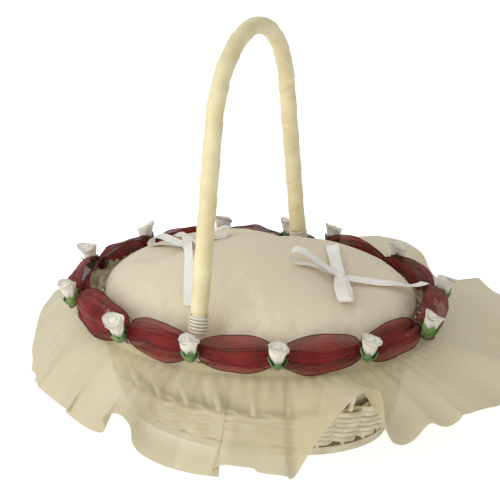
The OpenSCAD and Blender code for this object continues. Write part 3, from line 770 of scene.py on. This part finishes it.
def build_rosebud(n):
    """A closed bud in its calyx of five leaves."""
    spin = random.uniform(0, 6.28)
    seed = 3.7 * n
    cols, side_rings, heart_rings = 48, 15, 20
    turns = [2 * math.pi * j / cols for j in range(cols)]
    rings = []
    for i in range(side_rings + 1):
        ring = []
        for turn in turns:
            radius, z = bud_side(turn, i / side_rings, spin, seed)
            ring.append(Vector((radius * math.cos(turn), radius * math.sin(turn), z)))
        rings.append(ring)
    # The heart is one rolled petal: a ridge that winds in from the lip
    for i in range(1, heart_rings):
        share = 1 - i / heart_rings
        ring = []
        for turn in turns:
            radius, z = bud_side(turn, 1, spin, seed)
            wound = (2.2 * share + (turn - spin) / (2 * math.pi)) % 1
            ridge = wound ** 0.7 if wound < 0.85 else (1 - wound) / 0.15 * 0.85 ** 0.7
            deep = 2.6 * (1 - ridge) * min(1, 3 * share)
            level = z * share + 21 * (1 - share)
            near = radius * share
            ring.append(Vector((near * math.cos(turn), near * math.sin(turn), level - deep)))
        rings.append(ring)
    points, faces = sweep(rings, False)
    place = bud_frame(n)
    bud = make_piece(f"rosebud_petals_{n:02d}", [place @ p for p in points], faces, PETAL, "petal")
    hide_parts(f"rosebud_{n:02d}")
    leaves = []
    for k in range(5):
        angle = spin + LEAF_TURN * k + random.uniform(-0.2, 0.2)
        flare = random.uniform(0, 1.2)
        reach = random.uniform(9.0, 15.0)
        leaves.append(sepal(angle, flare, reach))
    points, faces = join(*leaves)
    calyx = make_piece(f"calyx_leaves_{n:02d}", [place @ p for p in points], faces, LEAF, "leaf")
    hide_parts(f"calyx_{n:02d}")


def sepal(angle, flare, reach):
    """A pointed leaf of the calyx, from the pointed foot of the bud up its side."""
    rows, cols = 12, 7
    points = []
    for i in range(rows):
        v = i / (rows - 1)
        half = 0.74 * math.sin(math.pi * min(1, 0.1 + 0.9 * v) ** 0.7) + 0.02
        radius = 0.4 + 5.6 * min(1, v * 1.5) ** 0.6 + flare * max(0, v - 0.6) ** 2 * 6
        for j in range(cols):
            u = 2 * j / (cols - 1) - 1
            turn = angle + half * u * 1.15
            far = radius + 0.35 * (1 - abs(u))
            points.append(Vector((far * math.cos(turn), far * math.sin(turn), reach * v)))
    return points, grid_faces(rows, cols)


# Cushion

def plan_reach(t):
    """Distance from the middle of the cushion to its seam."""
    ends = abs(math.cos(t)) / HALF_LEN
    sides = abs(math.sin(t)) / HALF_WID
    return (ends ** PLUMP + sides ** PLUMP) ** (-1 / PLUMP)


def leg_dent():
    """Depth of the hollow that each leg presses into the side, enough for the cushion to lift past it."""
    lean = (SEAM_Z + LIFT_H - ELBOW_Z) * math.tan(HANDLE_LEAN)
    leg_y = ELBOW_Y - lean - (HANDLE_R + WRAP_T) / math.cos(HANDLE_LEAN)
    return max(0, HALF_WID - leg_y + 3)


LEG_DENT = leg_dent()
# Creases that run out from each knot: direction in radians, length, depth
LEFT_CREASES = ((2.6, 46, 1.8), (3.7, 40, 2.2), (4.6, 52, 1.6), (5.5, 48, 2.0), (0.3, 44, 1.4),
                (1.5, 36, 1.6))
RIGHT_CREASES = ((0.6, 40, 1.6), (1.9, 44, 1.8), (3.0, 50, 1.5), (4.1, 46, 2.0), (5.3, 42, 2.0))
CREASES = ((LEFT_KNOT, LEFT_CREASES), (RIGHT_KNOT, RIGHT_CREASES))


def plan_point(t, share):
    """Place on the plan of the cushion, with the hollows that the two legs press in."""
    reach = plan_reach(t)
    x, y = reach * math.cos(t), reach * math.sin(t)
    hollow = LEG_DENT * math.exp(-((x - HANDLE_SIDE) / 17) ** 2) * share ** 3
    aside = CUSHION_SIDE + CUSHION_END * max(0, x / HALF_LEN)
    return (x + aside) * share, (y - math.copysign(hollow, y)) * share


def crease_depth(x, y):
    depth = 0
    for (kx, ky), rays in CREASES:
        dx, dy = x - kx, y - ky
        for angle, length, deep in rays:
            ahead = dx * math.cos(angle) + dy * math.sin(angle)
            aside = -dx * math.sin(angle) + dy * math.cos(angle)
            if ahead > 0:
                width = 2.5 + 0.07 * ahead
                fade = math.exp(-ahead / length * 1.6 - (aside / width) ** 2)
                depth += deep * clamp(ahead / 6, 0, 1) * fade
    return depth


def top_z(x, y, share):
    """Height of the crowned top as sewn, with its two tufts."""
    hollow = 0
    for kx, ky in (LEFT_KNOT, RIGHT_KNOT):
        hollow += TUFT_DEEP * math.exp(-((x - kx) ** 2 + (y - ky) ** 2) / TUFT_WIDE ** 2)
    crown = CROWN_H * max(0, 1 - share ** 2.3) ** 0.62
    return SEAM_Z + crown - (hollow + crease_depth(x, y)) * (1 - share ** 4)


def rest_z(x, y):
    """Height of the settled cover, or past its edge the height of the edge."""
    hit = cover_tree.ray_cast((x * MM, y * MM, 1), (0, 0, -1))[0]
    share = math.hypot(x, y) / plan_reach(math.atan2(y, x))
    edge = top_z(x, y, min(0.98, share))
    # Close to the edge the ray would fall down the side
    return max(edge - 6, hit.z / MM) if hit and share < 0.97 else edge


def apply_modifier(thing, kind, **settings):
    """Put the mesh that a modifier makes in place of the one it started from."""
    material = thing.data.materials[0]
    change = thing.modifiers.new("change", kind)
    for setting, value in settings.items():
        setattr(change, setting, value)
    graph = bpy.context.evaluated_depsgraph_get()
    mesh = bpy.data.meshes.new_from_object(thing.evaluated_get(graph))
    thing.modifiers.clear()
    thing.data = mesh
    mesh.polygons.foreach_set("use_smooth", [True] * len(mesh.polygons))
    mesh.materials.clear()
    mesh.materials.append(material)


def hold(p):
    """How firmly a point of the cover is held: at the tufts, at the legs and below the rim."""
    x, y, z = p / MM
    firm = clamp((SEAM_Z - z) / 6, 0, 1)
    for kx, ky in (LEFT_KNOT, RIGHT_KNOT):
        firm = max(firm, clamp(1.6 - math.hypot(x - kx, y - ky) / 5, 0, 1))
    if abs(y) > 0.6 * HALF_WID:
        firm = max(firm, clamp(1.6 - abs(x - HANDLE_SIDE) / 18, 0, 1))
    return firm


def settle(cover):
    """Swell the cover by cloth simulation between the places where it is held."""
    apply_modifier(cover, "REMESH", mode="VOXEL", voxel_size=0.004)
    start = [v.co.copy() for v in cover.data.vertices]
    held = cover.vertex_groups.new(name="held")
    for k, p in enumerate(start):
        held.add([k], hold(p), "REPLACE")
    cloth = cover.modifiers.new("swell", "CLOTH")
    cloth.settings.quality = 6
    cloth.settings.mass = 0.2
    cloth.settings.bending_stiffness = 0.3
    cloth.settings.use_pressure = True
    cloth.settings.uniform_pressure_force = 4
    cloth.settings.shrink_min = -0.03
    cloth.settings.effector_weights.gravity = 0
    cloth.settings.vertex_group_mass = "held"
    for step in range(1, SETTLE_STEPS + 1):
        bpy.context.scene.frame_set(step)
    graph = bpy.context.evaluated_depsgraph_get()
    swollen = [v.co.copy() for v in cover.evaluated_get(graph).data.vertices]
    cover.modifiers.clear()
    cover.vertex_groups.clear()
    bpy.context.scene.frame_set(1)
    for v, old, new in zip(cover.data.vertices, start, swollen):
        move = new - old
        far = move.length / (SWELL * MM)
        v.co = old + move * (math.tanh(far) / far if far > 0 else 0)
    apply_modifier(cover, "SUBSURF", levels=1, render_levels=1)


def build_cushion():
    """The cover, settled by simulation. Gives a tree that finds the height of its top."""
    cols, top_rings, belly_rings = 160, 60, 21
    belly_turn = 78
    points = []
    rings = []
    for i in range(top_rings):
        rings.append(("top", 1 - (i / (top_rings - 0.5)) ** 1.25))
    for i in range(1, belly_rings + 1):
        rings.insert(0, ("belly", math.radians(belly_turn * i / belly_rings)))
    belly_h = SEAM_Z - MAT_TOP - FIT
    for kind, value in rings:
        for j in range(cols):
            t = 2 * math.pi * j / cols
            if kind == "top":
                x, y = plan_point(t, value)
                points.append(Vector((x, y, top_z(x, y, value))))
            else:
                share = (1 - 0.16 * math.sin(value)) * math.cos(value) ** 0.35
                x, y = plan_point(t, 1)
                drop = belly_h * math.sin(value) / math.sin(math.radians(belly_turn))
                points.append(Vector((x * share, y * share, SEAM_Z - drop)))
    points, faces = sweep([points[i * cols:(i + 1) * cols] for i in range(len(rings))], False)
    cushion = make_piece("cushion_cover", points, faces, COTTON, "cushion_cloth", "cushion")
    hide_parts("cushion_top", "cushion_bottom", "cushion_filling")
    settle(cushion)
    return BVHTree.FromObject(cushion, bpy.context.evaluated_depsgraph_get())


# Bows

def ribbon(route, tilts, across_all=None):
    """A flat ribbon along a route; tilt is how far its width stands up from level."""
    points = []
    cols = 5
    for i, p in enumerate(route):
        step = route[min(len(route) - 1, i + 1)] - route[max(0, i - 1)]
        level = across_all or Vector((-step.y, step.x, 0)).normalized()
        across = math.cos(tilts[i]) * level + math.sin(tilts[i]) * UP
        for j in range(cols):
            points.append(p + across * SATIN_W * (j / (cols - 1) - 0.5))
    return points, grid_faces(len(route), cols)


def tail(knot, heading, length, bend, least_z=0, twist=0.0):
    """A tail that lies on the cushion from the knot to its cut end.

    heading and bend are in degrees. Past the cushion it lies at least_z, on what it reaches there, and
    twist is how far it stands on edge in its middle."""
    steps = 30
    heading, bend = math.radians(heading), math.radians(bend)
    route, tilts = [], []
    x, y = knot[0] + 3 * math.cos(heading), knot[1] + 3 * math.sin(heading)
    step = (length - 3) / (steps - 1)
    for i in range(steps):
        share = i / (steps - 1)
        turn = heading + bend * share
        level = Vector((-math.sin(turn), math.cos(turn))) * SATIN_W / 2
        top = max(rest_z(x + k * level.x, y + k * level.y) for k in (-1, 0, 1))
        wave = 1.0 * math.sin(share * 7 + heading) ** 2
        start = 2.5 * max(0, 1 - share * 5)
        lie = top + 1 + least_z + math.hypot(top + 1 - least_z, 4)
        tilt = 0.15 * math.sin(share * 5) + twist * math.sin(math.pi * share) ** 0.5
        route.append(Vector((x, y, lie / 2 + wave + start + SATIN_W / 2 * abs(math.sin(tilt)))))
        tilts.append(tilt)
        x += step * math.cos(turn)
        y += step * math.sin(turn)
    # Satin spans the small dips below it
    for _ in range(8):
        heights = [p.z for p in route]
        for i in range(1, steps - 1):
            route[i].z = max(heights[i], (heights[i - 1] + 2 * heights[i] + heights[i + 1]) / 4)
    return ribbon(route, tilts)


def loop(knot, heading, length, height):
    """A loop that runs out over the cushion, turns up and comes back above itself."""
    steps = 44
    heading = math.radians(heading)
    ahead = Vector((math.cos(heading), math.sin(heading), 0))
    aside = Vector((-ahead.y, ahead.x, 0))
    route, tilts = [], []
    for i in range(steps):
        share = i / (steps - 1)
        far = math.sin(math.pi * share)
        p = Vector((knot[0], knot[1], 0)) + (2 + (length - 2) * far ** 0.8) * ahead
        p += 2.5 * math.sin(2 * math.pi * share) * aside
        near = max(rest_z(p.x + k * aside.x, p.y + k * aside.y) for k in (-5, 0, 5))
        p.z = near + 0.8 + height * (0.39 - 0.5 * math.sin(2 * math.pi * share) * far)
        route.append(p)
        tilts.append(0.12 * math.sin(2 * math.pi * share))
    return ribbon(route, tilts, aside)


def knot_ball(at):
    """The wrapped knot in the middle of a bow."""
    rows, cols = 13, 20
    long, wide, tall = 4.6, 3.9, 3.4
    points = []
    middle = Vector((at[0], at[1], rest_z(*at) + 4.2))
    for i in range(rows):
        v = math.pi * (0.03 + 0.94 * i / (rows - 1))
        for j in range(cols):
            u = 2 * math.pi * j / cols
            groove = 1 + 0.07 * math.sin(3 * u + 2 * v)
            near = math.sin(v)
            shape = Vector((long * near * math.cos(u), wide * near * math.sin(u), tall * math.cos(v)))
            points.append(middle + groove * shape)
    return sweep([points[i * cols:(i + 1) * cols] for i in range(rows)], False)


def build_bows():
    """Two bows, each of two loops, two tails and a knot."""
    left = join(loop(LEFT_KNOT, 18, 34, 11),
                loop(LEFT_KNOT, 165, 40, 9),
                tail(LEFT_KNOT, -65, 102, 2, twist=0.8),
                tail(LEFT_KNOT, 110, 46, 50))
    right = join(loop(RIGHT_KNOT, 194, 39, 12),
                 loop(RIGHT_KNOT, -66, 44, 8),
                 tail(RIGHT_KNOT, 124, 46, -12),
                 tail(RIGHT_KNOT, 12, 72, 50, 119))
    for name, parts, knot in (("bow_left", left, LEFT_KNOT), ("bow_right", right, RIGHT_KNOT)):
        bow = make_piece(name + "_ribbon", *parts, SATIN, "satin", "cushion")
        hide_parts(name)
        ball = make_piece(name + "_wrap", *knot_ball(knot), SATIN, "satin", "cushion")
        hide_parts(name + "_knot")


# Studio lamps: name, place, size, energy

LAMPS = (("key", (-0.8, -0.95, 0.75), 1.5, 8.8),
         ("fill", (0.9, -0.9, 0.7), 0.9, 0.6),
         ("front", (0.1, -1.2, 0.22), 0.8, 2.2),
         ("back", (-0.2, 1.0, 1.0), 0.9, 2))


def build_floor():
    """A pale floor that looks near white and still shows the shadow."""
    mesh = bpy.data.meshes.new("floor")
    half = 4
    corners = [(-half, -half, 0), (half, -half, 0), (half, half, 0), (-half, half, 0)]
    mesh.from_pydata(corners, [], [(0, 1, 2, 3)])
    floor = bpy.data.objects.new("floor", mesh)
    floor.location.z = -0.0004
    bpy.context.scene.collection.objects.link(floor)
    made, nodes, links, shader = new_material("floor")
    grain = add_noise(nodes, links, 3, 2)
    colour = add_ramp(nodes, links, grain, [(0.2, linear(250, 250, 249)), (0.8, linear(254, 254, 254))])
    links.new(colour, shader.inputs["Base Color"])
    shader.inputs["Roughness"].default_value = 0.9
    shader.inputs["Specular IOR Level"].default_value = 0
    links.new(colour, shader.inputs["Emission Color"])
    # The floor shines a little, and more to the camera
    path = nodes.new("ShaderNodeLightPath")
    brighter = nodes.new("ShaderNodeMath")
    brighter.operation = "MULTIPLY_ADD"
    brighter.inputs[1].default_value = 0.45
    brighter.inputs[2].default_value = 0.22
    links.new(path.outputs["Is Camera Ray"], brighter.inputs[0])
    links.new(brighter.outputs["Value"], shader.inputs["Emission Strength"])
    mesh.materials.append(made)


def build_light():
    """A soft world light that looks white to the camera, and the lamps."""
    world = bpy.data.worlds.new("studio")
    bpy.context.scene.world = world
    world.use_nodes = True
    nodes, links = world.node_tree.nodes, world.node_tree.links
    soft = nodes["Background"]
    soft.inputs["Color"].default_value = (1, 0.99, 0.97, 1)
    soft.inputs["Strength"].default_value = 0.48
    white = nodes.new("ShaderNodeBackground")
    white.inputs["Color"].default_value = (1, 1, 1, 1)
    path = nodes.new("ShaderNodeLightPath")
    mix = nodes.new("ShaderNodeMixShader")
    links.new(path.outputs["Is Camera Ray"], mix.inputs["Fac"])
    links.new(soft.outputs["Background"], mix.inputs[1])
    links.new(white.outputs["Background"], mix.inputs[2])
    links.new(mix.outputs["Shader"], nodes["World Output"].inputs["Surface"])
    for name, place, size, energy in LAMPS:
        lamp = bpy.data.lights.new(name, "AREA")
        lamp.size = size
        lamp.energy = energy
        holder = bpy.data.objects.new(name, lamp)
        holder.location = place
        aim = Vector((0, 0, 0.12)) - Vector(place)
        holder.rotation_euler = aim.to_track_quat("-Z", "Y").to_euler()
        bpy.context.scene.collection.objects.link(holder)
    bpy.context.scene.view_settings.view_transform = "Standard"


def build_camera():
    """The photograph's view."""
    azimuth, elevation = math.radians(22.7), math.radians(22)
    distance = 1.228
    back = Vector((math.sin(azimuth) * math.cos(elevation), -math.cos(azimuth) * math.cos(elevation),
                   math.sin(elevation)))
    right = Vector((math.cos(azimuth), math.sin(azimuth), 0))
    up = back.cross(right)
    target = Vector((0, 0, 0.1113))
    lens = bpy.data.cameras.new("camera")
    lens.lens = 110.2
    lens.sensor_width = 36
    camera = bpy.data.objects.new("camera", lens)
    camera.location = target + distance * back
    # The middle of the picture lies a little above the target and to its left
    above, left = 0.0274, 0.0044
    aim = target + above * up - left * right - camera.location
    camera.rotation_mode = "QUATERNION"
    camera.rotation_quaternion = aim.to_track_quat("-Z", "Y")
    bpy.context.scene.collection.objects.link(camera)
    bpy.context.scene.camera = camera


def dress_frame():
    """Materials for the CAD nodes that stay in view."""
    for name in ("foot_hoop", "base_slats", "base_weave", "stakes"):
        paint(name, WICKER)
    paint("handle_core", CANE)
    paint("garland_ties", THREAD)


def paint(node, material):
    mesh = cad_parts[node].data
    mesh.materials.clear()
    mesh.materials.append(material)


dress_frame()
build_wicker()
build_handle()
build_skirt()
for number in range(1, PUFF_COUNT + 1):
    build_puff(number)
    build_rosebud(number)
# The bows lie on the settled cover, whose height rest_z finds in this tree
cover_tree = build_cushion()
build_bows()
build_floor()
build_light()
build_camera()
